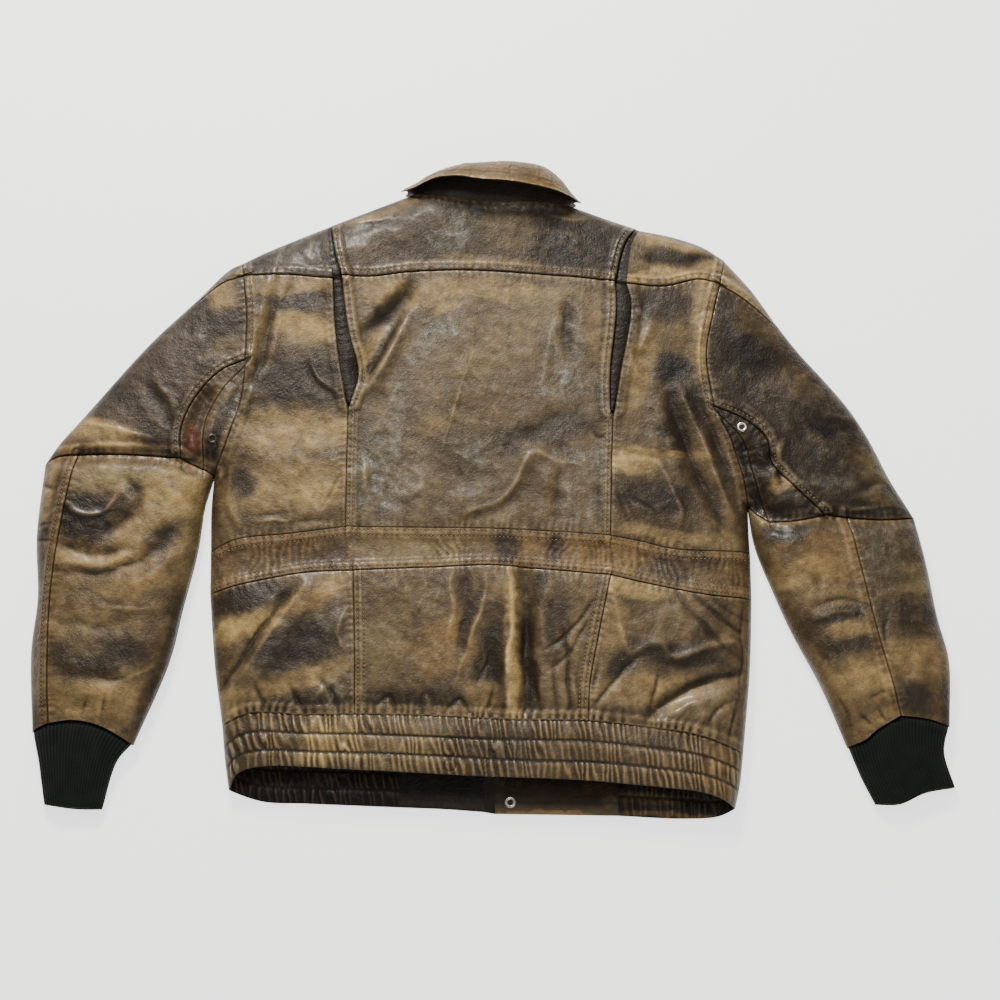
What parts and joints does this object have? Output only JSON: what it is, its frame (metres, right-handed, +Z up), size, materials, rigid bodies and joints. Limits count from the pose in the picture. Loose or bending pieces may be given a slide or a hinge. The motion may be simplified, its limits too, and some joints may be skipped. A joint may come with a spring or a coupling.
{
  "type": "worn leather jacket",
  "caption": "Worn mottled brown leather blouson laid face down, with a yoke, action pleats, a waist strip, a gathered hem band, a turned collar and rib cuffs.",
  "frame": {"origin": "centre of the laid garment's outline, on the surface that it rests on", "axes": "+X towards the wearer's right sleeve, +Y towards the collar, +Z up out of the back"},
  "size_m": [0.9954, 0.7378, 0.0722],
  "materials": {
    "leather_back": "worn waxy leather, mottled tan and dark brown, semi-gloss",
    "leather_hem": "gathered worn leather with dark valleys",
    "leather_sleeve": "worn leather, dark brown with tan bands, semi-gloss",
    "leather_front": "worn leather, plainly finished",
    "leather_collar": "worn tan leather with a purplish brown stand",
    "facing": "pebbled dark leather facing",
    "zip_tape": "woven dark tape",
    "rib_knit": "black-green rib knit",
    "nickel": "dulled nickel plate"
  },
  "bodies": {
    "root": {"back_yoke": "leather_back", "yoke_side_left": "leather_back", "yoke_side_right": "leather_back", "pleat_inlay_left": "leather_back", "pleat_inlay_right": "leather_back", "back_centre": "leather_back", "back_side_left": "leather_back", "back_side_right": "leather_back", "waist_strip": "leather_back", "lower_back_left": "leather_back", "lower_back_centre": "leather_back", "lower_back_right": "leather_back", "hem_band_back": "leather_hem", "hem_band_front_left": "leather_hem", "hem_band_front_right": "leather_hem", "hem_tab": "leather_hem", "sleeve_strip_left": "leather_sleeve", "sleeve_upper_left": "leather_sleeve", "gusset_upper_left": "leather_sleeve", "gusset_lower_left": "leather_sleeve", "forearm_outer_left": "leather_sleeve", "forearm_inner_left": "leather_sleeve", "sleeve_under_left": "leather_sleeve", "forearm_under_left": "leather_sleeve", "sleeve_strip_right": "leather_sleeve", "sleeve_upper_right": "leather_sleeve", "gusset_upper_right": "leather_sleeve", "gusset_lower_right": "leather_sleeve", "forearm_outer_right": "leather_sleeve", "forearm_inner_right": "leather_sleeve", "sleeve_under_right": "leather_sleeve", "forearm_under_right": "leather_sleeve", "front_left": "leather_front", "front_right": "leather_front", "collar_stand": "leather_collar", "collar_leaf": "leather_collar", "collar_front_left": "leather_collar", "collar_front_right": "leather_collar", "hem_facing": "facing", "front_zip": "zip_tape", "rib_cuff_left": "rib_knit", "rib_cuff_right": "rib_knit", "eyelet_left": "nickel", "eyelet_right": "nickel", "hem_snap": "nickel"}
  },
  "joints": []
}
